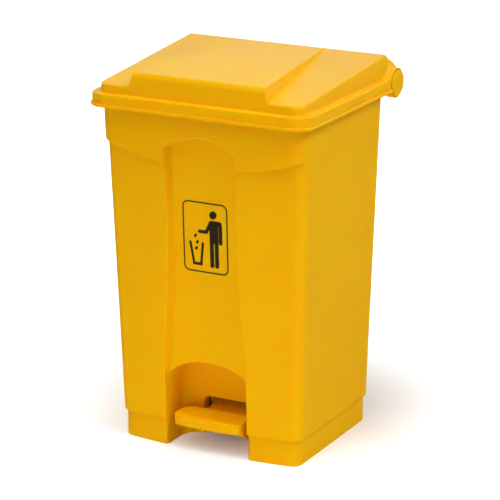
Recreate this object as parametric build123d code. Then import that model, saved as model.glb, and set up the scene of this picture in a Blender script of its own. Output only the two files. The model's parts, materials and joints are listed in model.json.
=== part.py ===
from build123d import *
import os
from math import asin, atan, cos, degrees, radians, sin, sqrt

# Pedal bin of the 45 litre class, moulded in polyethylene, with a steel lift linkage.
# Millimetres. X is to the right seen from the front, Y to the rear, Z up, and the origin
# is the centre of the base on the floor. Treading on the pedal turns its lever about an
# axle under the raised floor, the lever's rear end pushes a flat steel rod up the channel
# in the rear wall, and the rod turns a crank under the lid's rear edge.

# ---- tub ----
wall = 3.2                  # moulded wall of the tub
plinth_top = 42.0           # height of the set-back plinth
plinth_inset = 4.2          # how far the plinth stands back from the tub above it
rim_z = 560.1               # top of the tub's rim
base_half = 158.4           # half width of the tub at the top of the plinth
rim_half = 174.0            # half width of the tub at the rim
base_front = -124.5         # front corners of the tub at the top of the plinth, before rounding
rim_front = -139.5          # the same at the rim
base_rear = 126.9           # rear wall at the top of the plinth
rim_rear = 135.0            # rear wall at the rim
base_bow = 12.0             # how far the front bows out between its corners, at the plinth
rim_bow = 14.5              # the same at the rim
tub_corner = 20.0           # upright corners of the tub
floor_z = 78.0              # raised floor inside, over the pedal's lever
reach = 400.0               # cutting tools run this far sideways, past every wall
above = 700.0               # and up to this height, over the lid

# ---- flat band below the rim ----
band_face = -154.5          # front face of the band at the rim
band_draft = 0.015          # how far the face leans back for each millimetre down
band_low = 460.2            # lower edge of the band at the middle
band_sag_radius = 505.0     # the lower edge is an arc that climbs to both sides
band_corner = 26.0
band_lift = 5.0             # the walls are formed in two heights, which meet this far below the band

# ---- rim flange, under the lid's skirt ----
flange_out = 7.5            # overhang of the flange beyond the tub
flange_thick = 3.0
flange_drop = 12.0          # height of its turned-down edge
flange_rear = 112.0         # the flange ends here, clear of the hinge

# ---- front channel ----
channel_low_half = 67.4     # half width of the channel's floor at the plinth
channel_high_half = 55.6    # half width of its floor near the top
channel_waist = 130.0       # its sides draw in from here
channel_shoulder = 330.0    # and are upright from here
channel_top = 507.0         # top of the arch, on the floor of the channel
channel_spring = 488.0      # where the arch starts
channel_floor_y = -122.5    # floor of the channel at channel_ref_z
channel_ref_z = 140.0
channel_lean = 0.0427       # the floor comes forward by this for each millimetre up
channel_depth = 15.0        # depth over which the side walls splay
channel_splay = 3.7         # how far each side wall splays over that depth
channel_bevel = 3.0         # bevel between floor and side walls

# ---- pedal niche and its window ----
niche_half = 71.0
niche_apex = 144.0
niche_spring = 121.0        # height of the arch at the side walls, before rounding
niche_back = -59.0          # back wall of the niche
niche_corner = 30.0
niche_round = 29.0          # rounding between its sides and its back
niche_bevel = 13.0          # bevel between its ceiling and its back
window_half = 44.0
window_top = 64.0
window_corner = 12.0
sleeve_deep = 15.5          # depth of the collar behind the window, front to rear
plinth_slot_half = 75.5     # the plinth's edges beside the niche are cut back to here

# ---- rear channel for the lift rod ----
rear_channel_half = 24.0
rear_channel_depth = 25.5

# ---- lid ----
lid_wall = 2.8
skirt_half = 187.5          # outer face of the skirt
skirt_front = -168.0
skirt_low = 543.0
skirt_top = 563.3
skirt_corner = 30.0
skirt_bevel = 2.0           # bevel along its upper edge
lip_out = 2.5               # rolled lip round the skirt's lower edge
lip_high = 5.0
dome_front_half = 173.5     # the dome's walls where they rise from the skirt's ledge
dome_rear_half = 177.0
dome_foot_front = -156.5
dome_draft = 3.0            # how far the walls lean in between ledge and top
dome_corner = 18.0
dome_low_front = 577.0      # side panels: height at the front
dome_front_y = -151.0
dome_ridge_y = 132.0        # rear edge, the highest line of the lid
dome_ridge = 600.0
plateau_front_half = 111.0  # raised wedge in the middle: half width of its top at the front
plateau_rear_half = 69.0
plateau_front = 598.5       # its height at the front
plateau_splay = 6.0         # how far its side walls splay down to the side panels
plateau_round = 9.0         # soft front edge of the wedge
dome_bevel = 2.2            # bevel along the dome's upper edges
rib_thick = 2.0             # stiffening ribs under the lid
rib_high = 7.0
rib_places = (-120.0, -40.0, 40.0, 120.0)

cheek_start = 92.0          # the flared cheeks rise from the ledge here
cheek_root_x = 168.0
cheek_root_y = 131.0        # crest of the cheek where it leaves the dome's side wall
cheek_tip_y = 144.0         # crest of the cheek at the skirt's face
cheek_tip_z = 577.3

# ---- hinge ----
hinge_y = 147.0
hinge_z = 554.0
knuckle_r = 23.5            # round ends of the lid
knuckle_wide = 11.5
pin_r = 6.0
running_gap = 0.05          # radial clearance of every pin in its bore
pin_head_r = 20.3
pin_head_thick = 3.2
head_recess_r = 22.0
head_recess = 1.4           # depth of the recess round the pin's head
barrel_low = 546.0          # lower edge of the barrel that covers the hinge from behind
lug_r = 10.5                # hinge lugs on the tub, and the bosses beside them on the lid
lug_wide = 18.0
lug_outer = 150.0           # outer face of each lug, on the flat of the rear wall
side_gap = 0.4              # side play between moving pieces
lid_open = 80.0             # opening of the lid, in degrees

# ---- crank under the lid, and the lift rod ----
crank_r = 26.0              # distance from the hinge to the crank pin
link_pin_r = 3.0
pin_head = 1.8              # height of the steel pins' heads
rod_thick = 3.0
rod_wide = 12.0
rod_eye_r = 9.0
crank_lug_thick = 4.0
crank_lug_r = 6.8
slot_play = 0.8             # room above and below the crank pin in the rod's slot
grip_gap = 0.02             # a retaining ring grips its shaft this closely

# ---- pedal lever ----
axle_y = -20.0
axle_z = 46.0
axle_r = 4.0
lever_arm = 134.0           # from the axle back to the rod's lower pin
lever_front_half = 34.0
lever_rear_half = 11.0
lever_neck = 30.0           # length of its narrow rear end
lever_wall = 3.5
lever_room = 5.0            # room beside the lever's rear end
hub_r = 9.0
lever_end_r = 8.0           # rounded rear end of the lever
pad_half = 61.5             # the foot plate, at its front corners
pad_rear_half = 56.0
pad_front = -131.5          # its front corners
pad_bow = 6.0              # how far its front edge bows out
pad_rear = -89.0
pad_low = 38.7              # lower edge of its front
pad_deep = 20.0             # lower edge of its skirt at the rear
pad_deep_y = -101.0         # the skirt reaches that depth here
pad_top = 56.0
pad_corner = 12.0           # its rounded front corners
pad_rear_corner = 20.0
pad_bevel = 2.0             # bevel along its upper edge
tread_high = 0.6            # anti-slip ribs across the foot plate
tread_wide = 1.8
tread_pitch = 6.8
tread_count = 5
tread_margin = 6.0          # smooth border round the ribs
hanger_thick = 7.0          # plates under the floor that carry the axle
hanger_inner = 42.0
clip_thick = 1.6
clip_out = 5.0              # how far a clip stands out round its shaft

# ---- rod keepers in the rear channel ----
keeper_heights = {"upper": 430.0, "lower": 150.0}
keeper_tall = 18.0
keeper_thick = 2.5
keeper_set = 0.5            # the bridge lies this deep in the channel's mouth
keeper_tongue = 2.0         # tongues that snap into the channel's side walls
finger_gap = 0.7            # room between the rod and each guide finger
finger_thick = 2.0

SIDES = (-1, 1)

# Worked out from the sizes above.
half_open = radians(lid_open / 2)
lift = 2 * crank_r * sin(half_open)                  # travel of the crank pin and the rod
half_swing = asin(lift / 2 / lever_arm)
crank_gap = rod_thick / 2 + side_gap                 # half the gap that the rod runs in
crank_y = hinge_y - crank_r * cos(half_open)
crank_z = hinge_z - crank_r * sin(half_open)
link_y = axle_y + lever_arm * cos(half_swing)
link_z = axle_z - lever_arm * sin(half_swing)
slot_travel = crank_r * (1 - cos(half_open)) + lever_arm * (1 - cos(half_swing))
slot_y = crank_y - slot_travel / 2
pin_head_face = skirt_half + lip_out                 # the pins' heads are flush with the lip


def at(z, low, high):
    """Value at height z of a size that runs straight from the plinth to the rim."""
    return low + (high - low) * (z - plinth_top) / (rim_z - plinth_top)


def plan(z, half, front, rear, bow, corner):
    """Face of a plan outline at height z, with a front bowed between its corners."""
    right, left = (half, front), (-half, front)
    sides = Polyline(right, (half, rear), (-half, rear), left)
    nose = ThreePointArc(left, (0, front - bow), right) if bow else Line(left, right)
    face = make_face(sides + nose)
    return Pos(0, 0, z) * fillet(face.vertices(), corner)


def tub_plan(z, inset=0.0):
    """Plan of the tub at height z, set in by inset all round."""
    return plan(z, at(z, base_half, rim_half) - inset, at(z, base_front, rim_front) + inset,
                at(z, base_rear, rim_rear) - inset, at(z, base_bow, rim_bow), tub_corner - inset)


def solid_between(low, high):
    """Straight-sided solid between two faces with like outlines."""
    return loft([low, high], ruled=True)


def block(x0, x1, y0, y1, z0, z1):
    """Box between two corners."""
    size = Box(x1 - x0, y1 - y0, z1 - z0, align=(Align.MIN,) * 3)
    return Pos(x0, y0, z0) * size


def rod_x(radius, x0, x1, y, z):
    """Round bar along X."""
    bar = Cylinder(radius, x1 - x0, align=(Align.CENTER, Align.CENTER, Align.MIN))
    return Pos(x0, y, z) * Rot(0, 90, 0) * bar


def bore(radius, y, z, half=reach):
    """Bore along X for a pin of this radius, which turns in it."""
    return rod_x(radius + running_gap, -half, half, y, z)


def side_profile(points, x0=-reach, x1=reach):
    """Solid along X from a closed outline in the YZ plane."""
    outline = make_face(Polyline(*points, close=True))
    return extrude(Plane.YZ.offset(x0) * outline, x1 - x0)


def front_profile(points):
    """Solid along Y from a closed outline in the XZ plane."""
    return extrude(Plane.XZ * make_face(Polyline(*points, close=True)), reach, both=True)


def slab_z(face, height):
    """Straight solid up from a plan face."""
    return extrude(face, height, dir=(0, 0, 1))


# ---- tub: the cuts in its front and rear ----
def channel_plane(depth=0.0):
    """Plane of the channel's floor, its normal out of the tub, set back by depth."""
    lean = atan(channel_lean)
    origin = Vector(0, channel_floor_y, channel_ref_z)
    plane = Plane(origin, x_dir=(1, 0, 0), z_dir=(0, -cos(lean), -sin(lean)))
    return plane.offset(-depth)


def channel_outline(grow):
    """Outline of the channel's floor: wide foot, waisted sides and a flat arch."""
    low, high = channel_low_half + grow, channel_high_half + grow
    foot, waist = -channel_ref_z - channel_depth, channel_waist - channel_ref_z
    shoulder, spring = channel_shoulder - channel_ref_z, channel_spring - channel_ref_z
    top = channel_top - channel_ref_z + grow
    middle = ((low + high) / 2, (waist + shoulder) / 2)
    right = Line((low, foot), (low, waist)) + TangentArc((low, waist), middle, tangent=(0, 1))
    right = right + TangentArc((high, shoulder), middle, tangent=(0, -1))
    right = right + Line((high, shoulder), (high, spring))
    left = mirror(right, about=Plane.YZ)
    arch = ThreePointArc((-high, spring), (0, top), (high, spring))
    return make_face(right + arch + left + Line((-low, foot), (low, foot)))


def channel_cut(margin=0.0):
    """Space of the front channel, its floor's edges bevelled, or grown by a wall thickness."""
    floor = channel_plane(margin) * channel_outline(margin)
    splay = degrees(atan(channel_splay / channel_depth))
    space = extrude(floor, 3 * channel_depth, taper=-splay)
    edges = space.faces().sort_by(Axis.Y)[-1].edges().filter_by(lambda e: e.center().Z > 0)
    return chamfer(edges, channel_bevel)


def niche_cut(margin=0.0):
    """Arched foot space under the channel, or that space grown by a wall thickness."""
    half, rise = niche_half + margin, margin
    spring, apex = niche_spring + rise, niche_apex + rise
    low, rear = -20.0, niche_back + margin
    outline = make_face(Polyline((-half, spring), (-half, low), (half, low), (half, spring))
                        + ThreePointArc((half, spring), (0, apex), (-half, spring)))
    shoulders = outline.vertices().group_by(Axis.Y)[-1]
    outline = fillet(shoulders, niche_corner + margin)
    arch = extrude(Plane.XZ.offset(reach) * outline, -(reach + rear))
    edges = arch.faces().sort_by(Axis.Y)[-1].edges().filter_by(lambda e: e.center().Z > 0)
    arch = chamfer(edges, niche_bevel + margin / 2)
    base = Pos(0, (rear - reach) / 2, low) * Rectangle(2 * half, rear + reach)
    corners = base.vertices().group_by(Axis.Y)[-1]
    return arch & slab_z(fillet(corners, niche_round + margin), above)


def rear_channel_cut(margin=0.0):
    """Upright channel in the rear wall, parallel to it."""
    half = rear_channel_half + margin
    low, high = -wall, rim_z + wall
    deep = [at(z, base_rear, rim_rear) - rear_channel_depth - margin for z in (low, high)]
    return side_profile([(deep[0], low), (reach, low), (reach, high), (deep[1], high)], -half, half)


# ---- tub ----
def tub_outside():
    """Outer form of the tub: plinth, tapered walls and the flat band below the rim."""
    plinth = slab_z(Pos(0, 0, -plinth_top) * tub_plan(plinth_top, plinth_inset), plinth_top)
    meet = band_low - band_lift
    lower = solid_between(tub_plan(plinth_top), tub_plan(meet))
    upper = solid_between(tub_plan(meet), tub_plan(rim_z))
    return plinth + lower + upper + band()


def band():
    """Flat band across the front, its lower edge a shallow arc."""
    low = band_low - band_lift
    half = at(low, base_half, rim_half)
    slab = side_profile([(band_face + band_draft * (rim_z - low), low), (0, low), (0, rim_z),
                         (band_face, rim_z)])
    slab = slab & front_profile([(-half, low), (half, low), (rim_half, rim_z), (-rim_half, rim_z)])
    upright = slab.edges().filter_by(lambda e: e.center().Y < -band_corner).group_by(Axis.Z)[1]
    slab = fillet(upright, band_corner)
    disc = Rot(90, 0, 0) * Cylinder(band_sag_radius, reach)
    return slab & Pos(0, -reach / 2 - band_corner, band_low + band_sag_radius) * disc


def rim_flange():
    """Outward flange of the rim with a turned-down edge, along the front and the sides."""
    half, front = rim_half + flange_out, band_face - flange_out
    rear = flange_rear
    corner = skirt_corner - 6
    beyond = rear + 2 * corner
    slab = slab_z(plan(rim_z - flange_drop, half, front, beyond, 0, corner), flange_drop)
    hollow = slab_z(plan(rim_z - flange_drop - 1, half - flange_thick, front + flange_thick,
                         beyond, 0, corner - flange_thick), flange_drop + 1 - flange_thick)
    return (slab - hollow) & block(-reach, reach, -reach, rear, 0, above)


def hinge_lug(side):
    """Lug on the rear wall that carries a hinge pin, with a gusset down the wall."""
    inner, outer = sorted((side * (lug_outer - lug_wide), side * lug_outer))
    wall_y = rim_rear - wall
    web = [(wall_y, hinge_z - 34), (hinge_y, hinge_z - lug_r), (hinge_y, hinge_z + lug_r - 5.1),
           (wall_y, hinge_z + lug_r - 5.1)]
    return rod_x(lug_r, inner, outer, hinge_y, hinge_z) + side_profile(web, inner, outer)


def axle_hanger(side):
    """Plate under the raised floor that carries one end of the pedal's axle."""
    inner, outer = sorted((side * hanger_inner, side * (hanger_inner + hanger_thick)))
    ceiling = floor_z - wall / 2
    plate = side_profile([(axle_y - 20, ceiling), (axle_y - 10, axle_z), (axle_y + 10, axle_z),
                          (axle_y + 20, ceiling)], inner, outer)
    return plate + rod_x(hub_r + 1, inner, outer, axle_y, axle_z)


def floor_ribs():
    """Cross ribs under the raised floor, clear of the lever in the middle."""
    ribs = []
    ceiling, deep = floor_z - wall / 2, 16.0
    for side in (-1, 1):
        for y in (0.0, 45.0, 90.0):
            x0, x1 = sorted((side * (hanger_inner + hanger_thick), side * (base_half - 8)))
            ribs.append(block(x0, x1, y, y + 2.4, ceiling - deep, ceiling))
    return ribs


def plinth_edges():
    """Chamfered edges of the plinth, where the niche opens through its front."""
    face_y = base_front - base_bow + plinth_inset + 2
    cut = plinth_slot_half - niche_half
    points = [(niche_half, face_y + cut), (niche_half + reach, face_y + cut - reach),
              (-niche_half - reach, face_y + cut - reach), (-niche_half, face_y + cut)]
    return slab_z(make_face(Polyline(*points, close=True)), plinth_top)


def window_form(grow, front):
    """Opening in the niche's back wall for the pedal's lever, open below, or the collar round it."""
    half, top = window_half + grow, window_top + grow
    outline = fillet(Rectangle(2 * half, 2 * top).vertices(), window_corner + grow)
    deep = sleeve_deep + front
    form = extrude(Plane.XZ.offset(front - niche_back) * outline, -deep)
    return form & block(-reach, reach, -reach, reach, 0 if grow else -wall, above)


def keeper_bar(z, half, tall, play):
    """Bar across the mouth of the rear channel at height z, with play all round."""
    rear = at(z, base_rear, rim_rear) - keeper_set
    return block(-half - play, half + play, rear - keeper_thick - play, rear + play,
                 z - tall / 2 - play, z + tall / 2 + play)


def keeper_pockets():
    """Pockets in the rear channel's side walls for the tongues of the rod keepers."""
    half = rear_channel_half + keeper_tongue
    return [keeper_bar(z, half, keeper_tall / 2, 0.2) for z in keeper_heights.values()]


def lever_slot():
    """Slot in the foot of the rear channel for the lever's rear end."""
    half = lever_rear_half + lever_room
    return block(-half, half, axle_y, link_y + 1, -wall, floor_z - wall)


def bin_body():
    """The one-piece moulded tub."""
    body = tub_outside()
    cavity = solid_between(tub_plan(floor_z, wall), tub_plan(rim_z + 1, wall))
    under = solid_between(tub_plan(-1, plinth_inset + wall), tub_plan(floor_z - wall, wall + 2))
    keep_front = channel_cut(wall) + niche_cut(wall)
    keep_rear = rear_channel_cut(wall)
    body = body + rim_flange()
    body = body - (cavity - keep_front - keep_rear) - (under - keep_front - keep_rear)
    body = body + window_form(wall, 0)
    body = body - channel_cut() - niche_cut() - rear_channel_cut() - window_form(0, wall)
    body = body - plinth_edges()
    body = body + floor_ribs() + [axle_hanger(s) for s in SIDES] + [hinge_lug(s) for s in SIDES]
    between = hanger_inner + hanger_thick + wall
    body = body - bore(pin_r, hinge_y, hinge_z) - bore(axle_r, axle_y, axle_z, between)
    return body - keeper_pockets() - lever_slot()


# ---- lid ----
def under_slope(front_z, drop):
    """Everything under a plane from front_z at the dome's front up to its ridge."""
    rise = (dome_ridge - front_z) / (dome_ridge_y - dome_front_y)
    ends = [(y, front_z + rise * (y - dome_front_y) - drop) for y in (-reach, reach)]
    return side_profile([(-reach, 0), *ends, (reach, 0)])


def wedge_plan(z, grow):
    """Plan of the raised wedge at height z, its side walls grown outwards."""
    run = dome_ridge_y - dome_front_y
    taper = (plateau_front_half - plateau_rear_half) / run
    front, rear = skirt_front, hinge_y
    front_half = plateau_front_half + taper * (dome_front_y - front) + grow
    rear_half = plateau_front_half + taper * (dome_front_y - rear) + grow
    points = [(-front_half, front), (front_half, front), (rear_half, rear), (-rear_half, rear)]
    return Pos(0, 0, z) * make_face(Polyline(*points, close=True))


def dome_limits(drop):
    """Everything under the side panels and under the raised wedge, lowered by drop."""
    under_sides = under_slope(dome_low_front, drop)
    low, high = skirt_low, dome_ridge + knuckle_r
    splay = plateau_splay / (plateau_front - dome_low_front)
    wedge = solid_between(wedge_plan(low, splay * (plateau_front - low) - drop),
                          wedge_plan(high, splay * (plateau_front - high) - drop))
    return under_sides + (wedge & under_slope(plateau_front, drop))


def rear_limit(drop):
    """Everything in front of the lid's rear slope and within its barrel."""
    radius = knuckle_r - drop
    away, up = hinge_y - dome_ridge_y, dome_ridge - hinge_z
    span = sqrt(away ** 2 + up ** 2)
    turn = degrees(atan(up / away)) - degrees(asin(knuckle_r / span))
    slope = radians(turn)
    touch = (hinge_y + radius * sin(slope), hinge_z + radius * cos(slope))
    top = (touch[0] - reach * cos(slope), touch[1] + reach * sin(slope))
    body = side_profile([(-reach, 0), top, touch, (hinge_y, hinge_z), (hinge_y, 0)])
    return body + rod_x(radius, -reach, reach, hinge_y, hinge_z)


def dome_walls(inset, foot_z):
    """Upright form of the dome with drafted walls, before its top is cut to shape."""
    lean = dome_draft / (dome_ridge - skirt_top)
    grow = lean * (skirt_top - foot_z) - inset
    rear = hinge_y + knuckle_r
    flare = (dome_rear_half - dome_front_half) / (hinge_y - dome_foot_front) * knuckle_r
    front_half, rear_half = dome_front_half + grow, dome_rear_half + flare + grow
    front = dome_foot_front - grow
    face = make_face(Polyline((front_half, front), (rear_half, rear), (-rear_half, rear),
                              (-front_half, front), close=True))
    face = fillet(face.vertices().group_by(Axis.Y)[0], dome_corner + grow)
    return extrude(Pos(0, 0, foot_z) * face, dome_ridge + knuckle_r - foot_z,
                   taper=degrees(atan(lean)))


def skirt_form(inset, low, high):
    """Skirt block with its rounded front corners."""
    half, front = skirt_half - inset, skirt_front + inset
    face = Pos(0, (front + hinge_y) / 2, low) * Rectangle(2 * half, hinge_y - front)
    return slab_z(fillet(face.vertices().group_by(Axis.Y)[0], skirt_corner - inset), high - low)


def knuckle(side, radius, x0, x1):
    """Disc about the hinge axis on one side of the lid."""
    inner, outer = sorted((side * x0, side * x1))
    return rod_x(radius, inner, outer, hinge_y, hinge_z)


def cheek(side, inset):
    """Flared end of the dome's side wall, which widens to the hinge's knuckle."""
    foot, low = skirt_top - 0.5 - inset, skirt_top - 6

    def section(x, start, crest_y, crest_z):
        start, crest_y, crest_z = start + inset, crest_y + inset, crest_z - inset
        sweep = Spline((start, foot), (crest_y, crest_z), tangents=((1, 0), (0.75, 1)))
        rest = Polyline((crest_y, crest_z), (hinge_y, crest_z), (hinge_y, low),
                        (start, low), (start, foot))
        return Plane.YZ.offset(side * x) * make_face(sweep + rest)
    return solid_between(section(cheek_root_x, cheek_start, cheek_root_y, dome_ridge),
                         section(skirt_half - inset, cheek_start, cheek_tip_y, cheek_tip_z))


def dome(inset, foot_z):
    """Dome set in by inset, with a soft front edge on its wedge."""
    form = dome_walls(inset, foot_z) & dome_limits(inset)
    across = form.edges().filter_by(Axis.X).filter_by(lambda e: e.center().Y < 0)
    nose = across.filter_by(lambda e: e.length > plateau_front_half).sort_by(Axis.Z)[-1]
    return fillet(nose, plateau_round - inset)


def lid_outside():
    """Outer form of the lid, with soft upper edges and a rolled lip."""
    form = dome(0, skirt_top - lid_wall)
    crest = form.edges().filter_by(GeomType.BSPLINE, reverse=True).filter_by(
        lambda e: abs(e.center().X) > plateau_front_half and e.center().Y < dome_ridge_y
        and e.center().Z > dome_low_front - dome_bevel)
    form = chamfer(crest, dome_bevel)
    skirt = skirt_form(0, skirt_low, skirt_top)
    rounded = skirt.edges().group_by(Axis.Z)[-1].filter_by(lambda e: e.center().Y < hinge_y - 1)
    skirt = chamfer(rounded, skirt_bevel)
    lip_end = hinge_y - knuckle_r + lip_high
    lip = skirt_form(-lip_out, skirt_low, skirt_low + lip_high) & block(
        -reach, reach, -reach, lip_end, 0, above)
    cheeks = [cheek(side, 0) & dome_limits(0) for side in SIDES]
    form = (form + cheeks + skirt) & rear_limit(0)
    barrel = rod_x(knuckle_r, -skirt_half, skirt_half, hinge_y, hinge_z)
    return form + lip + (barrel & block(-reach, reach, lip_end, reach, barrel_low, above))


def lid_inside():
    """Hollow of the lid, one wall thickness within its outer form."""
    skirt = skirt_form(lid_wall, skirt_low - 1, skirt_top - lid_wall)
    cheeks = [cheek(side, lid_wall) & dome_limits(lid_wall) for side in SIDES]
    form = (dome(lid_wall, skirt_low - lip_high) + cheeks + skirt) & rear_limit(lid_wall)
    inner = skirt_half - lid_wall
    return form + rod_x(knuckle_r - lid_wall, -inner, inner, hinge_y, hinge_z)


def lid_ribs():
    """Ribs under the lid's top, from front to rear."""
    space = dome(lid_wall / 2, skirt_top)
    rear = hinge_y - knuckle_r - lid_wall
    ribs = [block(x - rib_thick / 2, x + rib_thick / 2, dome_foot_front, rear, 0, above)
            for x in rib_places]
    return [(rib & space) - dome_limits(lid_wall + rib_high) for rib in ribs]


def crank_lug(side):
    """One of the two lugs under the lid's rear edge that carry the crank pin."""
    inner, outer = sorted((side * crank_gap, side * (crank_gap + crank_lug_thick)))
    top = dome_ridge
    web = side_profile([(crank_y - crank_lug_r, crank_z), (crank_y - 12, top), (hinge_y, top),
                        (crank_y + crank_lug_r, crank_z)], inner, outer)
    web = web & dome_limits(1) & rear_limit(1)
    return web + rod_x(crank_lug_r, inner, outer, crank_y, crank_z)


def lid():
    """The one-piece moulded lid."""
    shell = lid_outside() - lid_inside() + lid_ribs()
    shell = shell + [crank_lug(side) for side in SIDES]
    ends = skirt_half - knuckle_wide
    shell = shell + [knuckle(side, knuckle_r, ends, skirt_half) for side in SIDES]
    shell = shell + [knuckle(side, lug_r, lug_outer + side_gap, ends + 1) for side in SIDES]
    recess = [knuckle(side, head_recess_r, skirt_half - head_recess, skirt_half + 5)
              for side in SIDES]
    between = crank_gap + crank_lug_thick + lid_wall
    shell = shell - bore(link_pin_r, crank_y, crank_z, between)
    return shell - recess - bore(pin_r, hinge_y, hinge_z)


# ---- hinge pins ----
def hinge_pin(side):
    """Plastic pin with a broad round head, pressed in from the side."""
    inner_end = lug_outer - lug_wide - 1
    head = knuckle(side, pin_head_r, pin_head_face - pin_head_thick, pin_head_face)
    return head + knuckle(side, pin_r, inner_end, pin_head_face - 1)


# ---- pedal ----
def pad_plan(z, inset=0.0):
    """Plan of the foot plate, its front bowed and its sides narrowing to the rear."""
    half, rear_half = pad_half - inset, pad_rear_half - inset
    front, rear = pad_front + inset, pad_rear - inset
    nose = ThreePointArc((-half, front), (0, front - pad_bow), (half, front))
    sides = Polyline((half, front), (rear_half, rear), (-rear_half, rear), (-half, front))
    face = make_face(nose + sides)
    face = fillet(face.vertices().group_by(Axis.Y)[0], pad_corner - inset)
    return Pos(0, 0, z) * fillet(face.vertices().group_by(Axis.Y)[-1], pad_rear_corner - inset)


def lever_form(inset):
    """Cranked bar from the foot plate to the rod's pin, tapering to the rear."""
    low, high, end = lever_wall + 8, pad_top - 3, lever_end_r - inset
    front = pad_rear - 15
    profile = side_profile([(front, pad_low - inset * 4), (front, high - inset),
                            (axle_y, high - inset), (link_y, link_z + end),
                            (link_y, link_z - end - inset * 3), (axle_y, axle_z - hub_r - inset * 4)])
    rear_half = lever_rear_half - inset
    front_half = lever_front_half - inset
    neck = link_y - lever_neck
    outline = Polyline((-front_half, -reach), (front_half, -reach), (front_half, axle_y),
                       (rear_half, neck), (rear_half, reach), (-rear_half, reach),
                       (-rear_half, neck), (-front_half, axle_y), close=True)
    return profile & slab_z(make_face(outline), above)


def tread_ribs():
    """Anti-slip ribs across the foot plate, following its bowed front edge."""
    radius = (pad_half ** 2 + pad_bow ** 2) / (2 * pad_bow)
    centre_y = pad_front - pad_bow + radius
    ribs = []
    for number in range(tread_count):
        outer = radius - tread_margin - tread_wide - number * tread_pitch
        ring = Circle(outer) - Circle(outer - tread_wide)
        ribs.append(slab_z(Pos(0, centre_y, pad_top - 1) * ring, 1 + tread_high))
    inside = slab_z(pad_plan(pad_low, tread_margin), above)
    return [rib & inside for rib in ribs]


def pedal():
    """The moulded pedal: foot plate, hollow lever, hub for the axle and fork for the rod."""
    pad = slab_z(pad_plan(pad_deep), pad_top - pad_deep)
    pad = chamfer(pad.edges().group_by(Axis.Z)[-1], pad_bevel)
    pad = pad & side_profile([(-reach, pad_low), (pad_front, pad_low), (pad_deep_y, pad_deep),
                              (reach, pad_deep), (reach, above), (-reach, above)])
    hub_half = hanger_inner - side_gap
    fork_front = link_y - 2 * lever_end_r
    body = pad + lever_form(0) + rod_x(hub_r, -hub_half, hub_half, axle_y, axle_z)
    body = body + rod_x(lever_end_r, -lever_rear_half, lever_rear_half, link_y, link_z)
    pad_hollow = slab_z(pad_plan(pad_deep - 1, lever_wall), pad_top - pad_deep + 1 - lever_wall)
    lever_hollow = lever_form(lever_wall) & block(-reach, reach, -reach, fork_front, 0, above)
    hub = rod_x(hub_r, -hub_half, hub_half, axle_y, axle_z)
    body = body - pad_hollow - (lever_hollow - hub)
    slot = block(-crank_gap, crank_gap, link_y - rod_eye_r - 2, reach, 0, above)
    body = body - slot - bore(axle_r, axle_y, axle_z) - bore(link_pin_r, link_y, link_z)
    return body + tread_ribs()


# ---- steel linkage ----
def pedal_axle():
    """Steel axle of the pedal."""
    half = hanger_inner + hanger_thick + clip_thick + 2
    return rod_x(axle_r, -half, half, axle_y, axle_z)


def clip(radius, x, y, z, side=1):
    """Eight-sided push-on retaining ring round a shaft, its inner face at x."""
    x0, x1 = sorted((side * x, side * (x + clip_thick)))
    ring = RegularPolygon(radius + clip_out, 8) - Circle(radius + grip_gap)
    return extrude(Plane.YZ.offset(x0) * Pos(y, z) * ring, x1 - x0)


def headed_pin(half, y, z):
    """Steel pin across the linkage, its six-sided head on the left, long enough for a clip."""
    shaft = rod_x(link_pin_r, -half, half + clip_thick + 1.5, y, z)
    head = Plane.YZ.offset(-half) * Pos(y, z) * RegularPolygon(link_pin_r + 2.5, 6)
    return shaft + extrude(head, -pin_head)


def lift_rod():
    """Flat steel rod with a round eye below and a slotted head above."""
    half_x = rod_thick / 2
    slot_half = slot_travel / 2 + link_pin_r + 0.4
    slot_high = link_pin_r + slot_play
    rim = 3.6
    outline = Polyline((link_y - rod_wide / 2, link_z), (slot_y - rod_wide / 2, crank_z),
                       (slot_y + rod_wide / 2, crank_z), (link_y + rod_wide / 2, link_z),
                       close=True)
    bar = make_face(outline) + Pos(link_y, link_z) * Circle(rod_eye_r)
    bar = bar + Pos(slot_y, crank_z) * RectangleRounded(
        2 * (slot_half + rim), 2 * (slot_high + rim), slot_high + rim - 0.5)
    bar = bar - Pos(link_y, link_z) * Circle(link_pin_r + running_gap)
    bar = bar - Pos(slot_y, crank_z) * RectangleRounded(2 * slot_half, 2 * slot_high,
                                                        slot_high - 0.05)
    return extrude(Plane.YZ.offset(-half_x) * bar, rod_thick)


def rod_keeper(z):
    """Bridge that snaps into the rear channel and guides the rod between two fingers."""
    bridge = keeper_bar(z, rear_channel_half - 0.3, keeper_tall, 0)
    tongues = keeper_bar(z, rear_channel_half + keeper_tongue, keeper_tall / 2, 0)
    front = at(z, base_rear, rim_rear) - keeper_set - keeper_thick
    inner = rod_thick / 2 + finger_gap
    fingers = []
    for side in SIDES:
        x0, x1 = sorted((side * inner, side * (inner + finger_thick)))
        fingers.append(block(x0, x1, front - 9, front + 1, z - keeper_tall / 2 + 2,
                             z + keeper_tall / 2 - 2))
    return bridge + tongues + fingers


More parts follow.
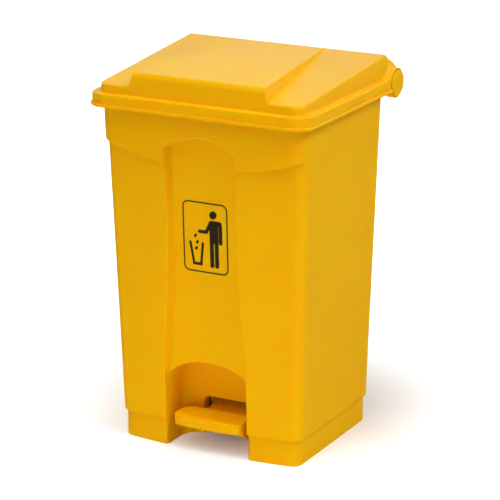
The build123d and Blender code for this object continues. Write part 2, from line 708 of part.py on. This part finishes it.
def all_pieces():
    """Every piece by its name."""
    axle_clip_x = hanger_inner + hanger_thick + 0.2
    crank_half = crank_gap + crank_lug_thick + 0.2
    link_half = lever_rear_half + 0.2
    pieces = {
        "bin_body": bin_body(),
        "lid": lid(),
        "hinge_pin_left": hinge_pin(-1),
        "hinge_pin_right": hinge_pin(1),
        "pedal": pedal(),
        "pedal_axle": pedal_axle(),
        "axle_clip_left": clip(axle_r, axle_clip_x, axle_y, axle_z, -1),
        "axle_clip_right": clip(axle_r, axle_clip_x, axle_y, axle_z),
        "lift_rod": lift_rod(),
        "link_pin": headed_pin(link_half, link_y, link_z),
        "link_pin_clip": clip(link_pin_r, link_half, link_y, link_z),
        "crank_pin": headed_pin(crank_half, crank_y, crank_z),
        "crank_pin_clip": clip(link_pin_r, crank_half, crank_y, crank_z),
    }
    for place, z in keeper_heights.items():
        pieces["rod_keeper_" + place] = rod_keeper(z)
    return pieces


os.makedirs("parts", exist_ok=True)
for name, piece in all_pieces().items():
    export_step(piece, os.path.join("parts", name + ".step"))
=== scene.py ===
import json
from math import atan, atan2, hypot, radians

import bmesh
import bpy
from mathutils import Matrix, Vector

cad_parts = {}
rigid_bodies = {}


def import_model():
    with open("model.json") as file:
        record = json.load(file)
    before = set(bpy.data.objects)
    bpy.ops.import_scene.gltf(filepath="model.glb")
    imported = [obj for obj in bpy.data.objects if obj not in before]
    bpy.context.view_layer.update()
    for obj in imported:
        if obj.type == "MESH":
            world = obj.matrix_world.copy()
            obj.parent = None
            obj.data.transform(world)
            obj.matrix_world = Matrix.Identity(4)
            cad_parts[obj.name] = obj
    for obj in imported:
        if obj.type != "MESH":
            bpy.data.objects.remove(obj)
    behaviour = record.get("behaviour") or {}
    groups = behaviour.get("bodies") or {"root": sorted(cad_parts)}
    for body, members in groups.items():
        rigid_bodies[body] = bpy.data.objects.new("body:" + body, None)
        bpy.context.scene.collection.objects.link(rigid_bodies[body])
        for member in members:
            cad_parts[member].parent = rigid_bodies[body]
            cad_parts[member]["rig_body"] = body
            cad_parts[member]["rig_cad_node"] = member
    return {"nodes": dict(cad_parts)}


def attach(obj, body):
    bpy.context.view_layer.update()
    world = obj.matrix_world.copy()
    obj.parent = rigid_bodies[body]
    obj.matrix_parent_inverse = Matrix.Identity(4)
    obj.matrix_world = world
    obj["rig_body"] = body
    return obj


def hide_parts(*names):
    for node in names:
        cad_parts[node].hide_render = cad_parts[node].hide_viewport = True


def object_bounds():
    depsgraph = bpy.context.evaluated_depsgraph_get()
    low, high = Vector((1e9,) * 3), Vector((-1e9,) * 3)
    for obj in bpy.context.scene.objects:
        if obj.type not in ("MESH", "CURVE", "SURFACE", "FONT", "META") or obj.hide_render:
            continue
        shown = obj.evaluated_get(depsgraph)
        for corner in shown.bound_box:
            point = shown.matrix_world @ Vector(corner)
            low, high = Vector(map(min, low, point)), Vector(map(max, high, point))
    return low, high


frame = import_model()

cad_box = [list(corner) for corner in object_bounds()]

# The camera.
# A long lens four steps away and above the lid's height, which looks down at the bin's front
# and its right side.
camera_place = (1.6812, -3.1499, 1.3909)
camera_turn = radians(27.997)
camera_tilt = radians(17.067)
bpy.ops.object.camera_add(location=camera_place)
camera = bpy.context.object
camera.name = "camera"
camera.rotation_euler = (radians(90) - camera_tilt, 0, camera_turn)
camera.data.sensor_width = 36
camera.data.lens = 171.2
camera.data.clip_end = 50
bpy.context.scene.camera = camera

# The room.
# Even white light all round. The camera sees it pure white. In mirror images on glossy skin
# and metal it is dark before the bin and white behind it.


def by_ray(tree, lit, mirrored, pictured, output):
    """Gives the light, the mirror images and the camera each their own shader."""
    rays = tree.nodes.new("ShaderNodeLightPath")
    in_mirrors = tree.nodes.new("ShaderNodeMixShader")
    in_view = tree.nodes.new("ShaderNodeMixShader")
    tree.links.new(rays.outputs["Is Glossy Ray"], in_mirrors.inputs["Fac"])
    tree.links.new(lit.outputs[0], in_mirrors.inputs[1])
    tree.links.new(mirrored.outputs[0], in_mirrors.inputs[2])
    tree.links.new(rays.outputs["Is Camera Ray"], in_view.inputs["Fac"])
    tree.links.new(in_mirrors.outputs["Shader"], in_view.inputs[1])
    tree.links.new(pictured.outputs[0], in_view.inputs[2])
    tree.links.new(in_view.outputs["Shader"], tree.nodes[output].inputs["Surface"])


room = bpy.data.worlds.new("room")
room.use_nodes = True
bpy.context.scene.world = room
nodes = room.node_tree.nodes
links = room.node_tree.links
even_light = nodes["Background"]
even_light.inputs["Color"].default_value = (1, 1, 1, 1)
even_light.inputs["Strength"].default_value = 0.15
white_wall = nodes.new("ShaderNodeBackground")
white_wall.inputs["Color"].default_value = (1, 1, 1, 1)
white_wall.inputs["Strength"].default_value = 1.0
mirrored_wall = nodes.new("ShaderNodeBackground")
direction = nodes.new("ShaderNodeTexCoord")
axes = nodes.new("ShaderNodeSeparateXYZ")
behind = nodes.new("ShaderNodeMapRange")
behind.inputs["From Min"].default_value = -0.1
behind.inputs["From Max"].default_value = 0.8
behind.inputs["To Min"].default_value = 0.02
behind.inputs["To Max"].default_value = 1.0
links.new(direction.outputs["Generated"], axes.inputs["Vector"])
links.new(axes.outputs["Y"], behind.inputs["Value"])
links.new(behind.outputs["Result"], mirrored_wall.inputs["Strength"])
by_ray(room.node_tree, even_light, mirrored_wall, white_wall, "World Output")

# The floor.
# Matt white studio paint. For the camera it glows, more with the distance from the bin, so
# that it ends pure white and keeps the shadow. Near the bin the glow fades to nothing, which
# is painted shade round and under the bin, on top of its real shadow. In mirror images it is dull.
under_bin = (0, 0.12, 0)
floor_paint = bpy.data.materials.new("floor_paint")
floor_paint.use_nodes = True
nodes = floor_paint.node_tree.nodes
links = floor_paint.node_tree.links
paint = nodes["Principled BSDF"]
paint.inputs["Base Color"].default_value = (0.86, 0.86, 0.86, 1)
paint.inputs["Roughness"].default_value = 0.9
paint.inputs["Specular IOR Level"].default_value = 0.1
glow = nodes.new("ShaderNodeEmission")
ground = nodes.new("ShaderNodeTexCoord")
distance = nodes.new("ShaderNodeVectorMath")
distance.operation = "DISTANCE"
distance.inputs[1].default_value = under_bin
# Painted shade: no glow within 0.14 m of the point under the bin, half glow at 0.34 m and full glow a
# metre out, so the floor round the bin is darker for the camera than its real shadow makes it.
brighter = nodes.new("ShaderNodeValToRGB")
brighter.color_ramp.elements[0].position = 0.14
brighter.color_ramp.elements[0].color = (0, 0, 0, 1)
brighter.color_ramp.elements[1].position = 1.0
brighter.color_ramp.elements[1].color = (0.85, 0.85, 0.85, 1)
painted_shade_rim = brighter.color_ramp.elements.new(0.34)
painted_shade_rim.color = (0.5, 0.5, 0.5, 1)
glowing_paint = nodes.new("ShaderNodeAddShader")
dull_paint = nodes.new("ShaderNodeBsdfDiffuse")
dull_paint.inputs["Color"].default_value = (0.12, 0.12, 0.12, 1)
links.new(ground.outputs["Object"], distance.inputs[0])
links.new(distance.outputs["Value"], brighter.inputs["Fac"])
links.new(brighter.outputs["Color"], glow.inputs["Color"])
links.new(paint.outputs["BSDF"], glowing_paint.inputs[0])
links.new(glow.outputs["Emission"], glowing_paint.inputs[1])
by_ray(floor_paint.node_tree, paint, dull_paint, glowing_paint, "Material Output")

bpy.ops.object.select_all(action="DESELECT")
bpy.ops.mesh.primitive_plane_add(size=14, location=(0, 0, 0))
studio_floor = bpy.context.object
studio_floor.name = "studio_floor"
studio_floor.data.materials.append(floor_paint)

# The softboxes.
# Seven square area lamps round the bin and over it. Only the one at its side shows in
# mirror images, as a soft sheen on the satin skin.


def softbox(name, place, aim, size, power, spread=180, mirrored=False):
    """A square area lamp at a place, turned towards the point it lights."""
    bpy.ops.object.light_add(type="AREA", location=place)
    lamp = bpy.context.object
    lamp.name = name
    lamp.data.size = size
    lamp.data.energy = power
    lamp.data.spread = radians(spread)
    lamp.visible_glossy = mirrored
    lamp.rotation_euler = (Vector(place) - Vector(aim)).to_track_quat("Z", "Y").to_euler()


softbox("key_softbox", (-0.5, -2.0, 2.9), aim=(0, 0, 0.35), size=1.4, power=20.5)
softbox("front_softbox", (-0.1, -3.0, 0.6), aim=(0, 0, 0.3), size=1.2, power=6)
softbox("low_softbox", (0.35, -1.6, 0.22), aim=(0, -0.12, 0.10), size=0.5, power=0.7, spread=60)
softbox("side_softbox", (2.3, -0.3, 2.6), aim=(0, 0, 0.3), size=1.3, power=52, mirrored=True)
softbox("top_softbox", (0, -0.6, 3.0), aim=(0, 0, 0.4), size=1.6, power=22)
softbox("rear_softbox", (0.6, 2.8, 1.6), aim=(0, 0, 0.3), size=1.6, power=24)
softbox("left_softbox", (-2.8, 0.9, 1.5), aim=(0, 0, 0.3), size=1.6, power=20)

bpy.context.scene.view_settings.view_transform = "Standard"

# The tub.
# One injection moulding of yellow polyethylene, with a satin skin that is a little uneven
# where the melt cooled. The mould rounds the edges of the channel, the niche and the walls.


def mottled(name, scale, detail, shades, stops, roughness):
    """A material whose colour and gloss drift between two values with a soft noise."""
    material = bpy.data.materials.new(name)
    material.use_nodes = True
    nodes = material.node_tree.nodes
    links = material.node_tree.links
    surface = nodes["Principled BSDF"]
    where = nodes.new("ShaderNodeTexCoord")
    clouds = nodes.new("ShaderNodeTexNoise")
    clouds.inputs["Scale"].default_value = scale
    clouds.inputs["Detail"].default_value = detail
    tone = nodes.new("ShaderNodeValToRGB")
    for end in (0, 1):
        tone.color_ramp.elements[end].position = stops[end]
        tone.color_ramp.elements[end].color = (*shades[end], 1)
    gloss = nodes.new("ShaderNodeMapRange")
    gloss.inputs["To Min"].default_value = roughness[0]
    gloss.inputs["To Max"].default_value = roughness[1]
    links.new(where.outputs["Object"], clouds.inputs["Vector"])
    links.new(clouds.outputs["Fac"], tone.inputs["Fac"])
    links.new(clouds.outputs["Fac"], gloss.inputs["Value"])
    links.new(tone.outputs["Color"], surface.inputs["Base Color"])
    links.new(gloss.outputs["Result"], surface.inputs["Roughness"])
    return material


melt_shades = ((0.990, 0.480, 0.001), (1.000, 0.500, 0.001))
yellow = mottled("moulded_yellow", scale=9, detail=3, shades=melt_shades, stops=(0.3, 0.7),
                 roughness=(0.34, 0.44))
nodes = yellow.node_tree.nodes
links = yellow.node_tree.links
skin = nodes["Principled BSDF"]
skin.inputs["Specular IOR Level"].default_value = 0.25
skin.inputs["IOR"].default_value = 1.5
skin.inputs["Subsurface Weight"].default_value = 1.0
skin.inputs["Subsurface Radius"].default_value = (1.0, 0.20, 0.02)
skin.inputs["Subsurface Scale"].default_value = 0.003
where = nodes.new("ShaderNodeTexCoord")
grain = nodes.new("ShaderNodeTexNoise")
grain.inputs["Scale"].default_value = 900
grain.inputs["Detail"].default_value = 2
ripple = nodes.new("ShaderNodeBump")
ripple.inputs["Strength"].default_value = 0.05
ripple.inputs["Distance"].default_value = 0.0003
links.new(where.outputs["Object"], grain.inputs["Vector"])
links.new(grain.outputs["Fac"], ripple.inputs["Height"])
links.new(ripple.outputs["Normal"], skin.inputs["Normal"])

weld = 0.00001
nearly_flat = radians(0.5)
clear_corner = radians(20)
soft_corner = radians(48)
outer, inner = 1, -1


def finished(node, name, material, roundings=(), reshape=None):
    """A merged, smoothly shaded copy of a node, with chosen edges rounded, which stands for it.

    Each rounding is a rule that picks edges, their radius, and whether the corners are outer
    or inner ones.
    """
    source = frame["nodes"][node]
    bpy.ops.object.select_all(action="DESELECT")
    source.select_set(True)
    bpy.context.view_layer.objects.active = source
    bpy.ops.object.duplicate()
    piece = bpy.context.object
    piece.parent = None
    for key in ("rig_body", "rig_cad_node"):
        del piece[key]
    piece.name = name
    piece.data.name = name
    piece.data.materials.clear()
    piece.data.materials.append(material)
    bpy.ops.object.mode_set(mode="EDIT")
    bpy.ops.mesh.select_mode(type="EDGE")
    bpy.ops.mesh.select_all(action="SELECT")
    bpy.ops.mesh.customdata_custom_splitnormals_clear()
    bpy.ops.mesh.remove_doubles(threshold=weld)
    bpy.ops.mesh.dissolve_limited(angle_limit=nearly_flat)
    if reshape:
        reshape(piece)
    for rule, radius, side in roundings:
        bpy.ops.mesh.select_all(action="DESELECT")
        shape = bmesh.from_edit_mesh(piece.data)
        for edge in shape.edges:
            if edge.is_manifold and side * edge.calc_face_angle_signed() > clear_corner and rule(edge):
                edge.select_set(True)
        bmesh.update_edit_mesh(piece.data)
        bpy.ops.mesh.bevel(offset=radius, segments=3, clamp_overlap=False)
    bpy.ops.object.mode_set(mode="OBJECT")
    bpy.ops.object.shade_smooth_by_angle(angle=soft_corner)
    weighting = piece.modifiers.new("weighting", "WEIGHTED_NORMAL")
    weighting.keep_sharp = True
    bpy.ops.object.modifier_apply(modifier="weighting")
    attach(piece, source["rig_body"])
    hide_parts(node)


def pick_points(piece, low, high):
    """Selects the points inside a box, in edit mode."""
    bpy.ops.mesh.select_all(action="DESELECT")
    shape = bmesh.from_edit_mesh(piece.data)
    for point in shape.verts:
        point.select = all(a < b < c for a, b, c in zip(low, point.co, high))
    bmesh.update_edit_mesh(piece.data)


def middle(edge):
    """Middle of an edge."""
    return (edge.verts[0].co + edge.verts[1].co) / 2


def level_edge(edge, height, slack=0.0001):
    """Whether both ends of an edge lie at a height."""
    return all(abs(end.co.z - height) < slack for end in edge.verts)


plinth_top = 0.042
niche_foot, band_top = 0.050, 0.535
front_rear = -0.118
front_radius = 0.0022
fin_foot = (0.07129, -0.13408, plinth_top)
fin_head = (0.07116, -0.13628, 0.107)
fin_x, fin_y = (0.0704, 0.0716), (-0.1365, -0.1325)


def close_fins(piece):
    """Draws the last millimetre of the channel's side walls beside the niche together.

    Those two fins are narrower than the rounding of the edges along them.
    """
    bpy.ops.mesh.select_all(action="SELECT")
    bpy.ops.mesh.bisect(plane_co=(0, 0, fin_head[2]), plane_no=(0, 0, 1))
    for side in (-1, 1):
        near, far = sorted((side * fin_x[0], side * fin_x[1]))
        for (x, y, z), slack in ((fin_foot, 0.0001), (fin_head, 0.0030)):
            pick_points(piece, (near, fin_y[0], z - slack), (far, fin_y[1], z + slack))
            bpy.ops.transform.resize(value=(0, 0, 0), center_override=(side * x, y, z))
            bpy.ops.mesh.remove_doubles(threshold=weld)


def front_edge(edge):
    """Edges of the channel, the niche and the band, on the front of the tub."""
    spot = middle(edge)
    faces_front = any(face.normal.y < -0.5 for face in edge.link_faces)
    return faces_front and spot.y < front_rear and niche_foot < spot.z < band_top


def plinth_edge(edge):
    """Lower edge of the tub's walls, over the set-back plinth."""
    faces_down = any(face.normal.z < -0.9 for face in edge.link_faces)
    return faces_down and level_edge(edge, plinth_top, 0.00005)


finished("bin_body", "tub_shell", yellow,
         ((front_edge, front_radius, outer), (plinth_edge, front_radius, outer)), close_fins)

# The lid.
# A moulded yellow shell: a dome with a raised wedge, on a skirt with a rolled lip. It turns
# on the hinge pins by the round knuckles at its rear corners.
skirt_ledge = 0.5633
lip_edges = (0.543, 0.548)
lip_rear = 0.10
outward = 0.05
ledge_radius = 0.0015
lip_radius = 0.0012


def ledge_edge(edge):
    """Foot of the lid's dome, on the ledge of its skirt."""
    return level_edge(edge, skirt_ledge)


def lip_edge(edge):
    """Outer edges of the rolled lip round the lid's skirt."""
    spot = middle(edge)
    faces_out = any(face.normal.xy.dot(spot.xy) > outward for face in edge.link_faces)
    return faces_out and spot.y < lip_rear and any(level_edge(edge, z) for z in lip_edges)


finished("lid", "lid_shell", yellow,
         ((ledge_edge, ledge_radius, inner), (lip_edge, lip_radius, outer)))

# The foot pedal.
# A moulded yellow foot plate with ribs, whose lever goes back through the niche's window.
# The lever leaves the plate low, so its top lies in the plate's shade.
lever_drop = 0.012
lever_root = ((-0.0345, -0.0935, 0.0480), (0.0345, -0.0885, 0.0535))


def drop_lever(piece):
    """Lowers the lever's top where it leaves the foot plate."""
    pick_points(piece, *lever_root)
    bpy.ops.transform.translate(value=(0, 0, -lever_drop))


finished("pedal", "foot_pedal", yellow, reshape=drop_lever)

# The hinge pins.
# Two moulded yellow pins with broad round heads, pushed from the sides through the lid's
# knuckles into the lugs on the tub's rear wall.
head_face = cad_box[1][0]
rim_radius = 0.0008


def head_edge(edge):
    """Rim of a hinge pin's round head."""
    return all(abs(end.co.x) > head_face - 0.0001 for end in edge.verts)


for side in ("left", "right"):
    finished("hinge_pin_" + side, "hinge_disc_" + side, yellow,
             ((head_edge, rim_radius, outer),))

# The rod keepers.
# Two small yellow bridges across the channel in the tub's rear wall. Their tongues snap
# into its side walls, and they keep the lift rod in it.
for level in ("upper", "lower"):
    finished("rod_keeper_" + level, "rod_strap_" + level, yellow)

# The steel linkage.
# The pedal's axle, the lift rod, which is a flat strap, and its two pivot pins, all of zinc
# plated steel. Push-on rings at their ends keep the axle and the pins in place.
zinc_shades = ((0.52, 0.52, 0.50), (0.68, 0.68, 0.65))
steel = mottled("plated_steel", scale=160, detail=2, shades=zinc_shades, stops=(0, 1),
                roughness=(0.28, 0.45))
steel.node_tree.nodes["Principled BSDF"].inputs["Metallic"].default_value = 1

finished("pedal_axle", "axle", steel)
for side in ("left", "right"):
    finished("axle_clip_" + side, "axle_ring_" + side, steel)
finished("lift_rod", "push_rod", steel)
for place in ("link", "crank"):
    finished(place + "_pin", place + "_pivot", steel)
    finished(place + "_pin_clip", place + "_ring", steel)

# The printed sign.
# A litter sign in dark brown ink: a rounded frame with a figure that drops litter into a
# bin, screen printed on the flat floor of the front channel as a film of ink.
ink_shades = ((0.020, 0.008, 0.001), (0.036, 0.016, 0.003))
ink = mottled("brown_ink", scale=300, detail=2, shades=ink_shades, stops=(0, 1),
              roughness=(0.4, 0.55))

film = 0.0002
sign_wide, sign_tall, sign_height = 0.0775, 0.1130, 0.3497
frame_corner, frame_line = 0.010, 0.0021
channel_lean = 0.0427
channel_foot_y, channel_foot_z = -0.1225, 0.140
channel_floor = channel_foot_y - channel_lean * (sign_height - channel_foot_z)


def raise_film():
    """Gives a flat shape in edit mode the thickness of the ink, and leaves edit mode."""
    bpy.ops.mesh.extrude_region_move(TRANSFORM_OT_translate={"value": (0, 0, film)})
    bpy.ops.mesh.select_all(action="SELECT")
    bpy.ops.mesh.normals_make_consistent(inside=False)
    bpy.ops.object.mode_set(mode="OBJECT")


def strip(x0, y0, x1, y1, wide, roundness=0.49):
    """A flat strip of ink between two points of the sign, in millimetres, with round ends."""
    run, rise = (x1 - x0) / 1000, (y1 - y0) / 1000
    bpy.ops.mesh.primitive_plane_add(size=1)
    piece = bpy.context.object
    piece.scale = (hypot(run, rise) + wide / 1000, wide / 1000, 1)
    piece.rotation_euler = (0, 0, atan2(rise, run))
    piece.location = ((x0 + x1) / 2 / 1000, (y0 + y1) / 2 / 1000, 0)
    bpy.ops.object.transform_apply(location=True, rotation=True, scale=True)
    bpy.ops.object.mode_set(mode="EDIT")
    bpy.ops.mesh.select_all(action="SELECT")
    bpy.ops.mesh.bevel(affect="VERTICES", offset=roundness * wide / 1000, segments=6)
    raise_film()
    return piece


def printed(name, strips):
    """Strips that touch each other, united and laid on the channel's floor."""
    piece = strips[0]
    for other in strips[1:]:
        bpy.ops.object.select_all(action="DESELECT")
        piece.select_set(True)
        bpy.context.view_layer.objects.active = piece
        bpy.ops.object.modifier_add(type="BOOLEAN")
        union = piece.modifiers[-1]
        union.operation = "UNION"
        union.object = other
        bpy.ops.object.modifier_apply(modifier=union.name)
        bpy.data.objects.remove(other)
    bpy.ops.object.select_all(action="DESELECT")
    piece.select_set(True)
    bpy.context.view_layer.objects.active = piece
    piece.name = name
    piece.rotation_euler = (radians(90) + atan(channel_lean), 0, 0)
    piece.location = (0, channel_floor, sign_height)
    bpy.ops.object.transform_apply(location=True, rotation=True, scale=True)
    piece.data.materials.append(ink)
    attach(piece, "tub")


bpy.ops.mesh.primitive_plane_add(size=1)
outline = bpy.context.object
outline.scale = (sign_wide, sign_tall, 1)
bpy.ops.object.transform_apply(location=True, rotation=True, scale=True)
bpy.ops.object.mode_set(mode="EDIT")
bpy.ops.mesh.select_all(action="SELECT")
bpy.ops.mesh.bevel(affect="VERTICES", offset=frame_corner, segments=10)
bpy.ops.mesh.inset(thickness=frame_line)
bpy.ops.mesh.delete(type="ONLY_FACE")
bpy.ops.mesh.select_all(action="SELECT")
raise_film()
printed("sign_frame", [outline])

feet, hips, shoulders = -43.6, 4, 24.2
left_leg, right_leg, leg_wide = 10.7, 19.1, 6.8
elbow_x, forearm_y = 1.6, 9.2
printed("sign_head", [strip(13.4, 37.2, 14.4, 38.4, 11.6)])
printed("sign_figure", [
    strip(15, 0, 15, 20, 15.6, 0.12),
    strip(10.5, shoulders, 24.5, shoulders, 8.4),
    strip(left_leg, feet, left_leg, hips, leg_wide),
    strip(right_leg, feet, right_leg, hips, leg_wide),
    strip(26.2, -6, 26.2, 22, 5.6),
    strip(9, 23.5, elbow_x, 9.4, 5.8),
    strip(-10, forearm_y, elbow_x, forearm_y, 5.4),
])

wall_line, floor_line, square_end = 3.8, 4.4, 0.2
rim_y, foot_y, floor_y = -10, -43, -43.4
foot_left, foot_right = -20.8, -8.4
printed("sign_bin", [
    strip(-26.4, rim_y, foot_left, foot_y, wall_line, square_end),
    strip(foot_left, floor_y, foot_right, floor_y, floor_line, square_end),
    strip(foot_right, foot_y, -4.8, rim_y, wall_line, square_end),
])

litter_wide, litter_x, litter_y = 3.8, 0.5, 0.9
for number, (x, y) in enumerate(((-17.4, 1.6), (-14.4, -8.4), (-16.2, -18.6))):
    printed("sign_litter_" + str(number + 1), [
        strip(x - litter_x, y - litter_y, x + litter_x, y + litter_y, litter_wide, square_end)])
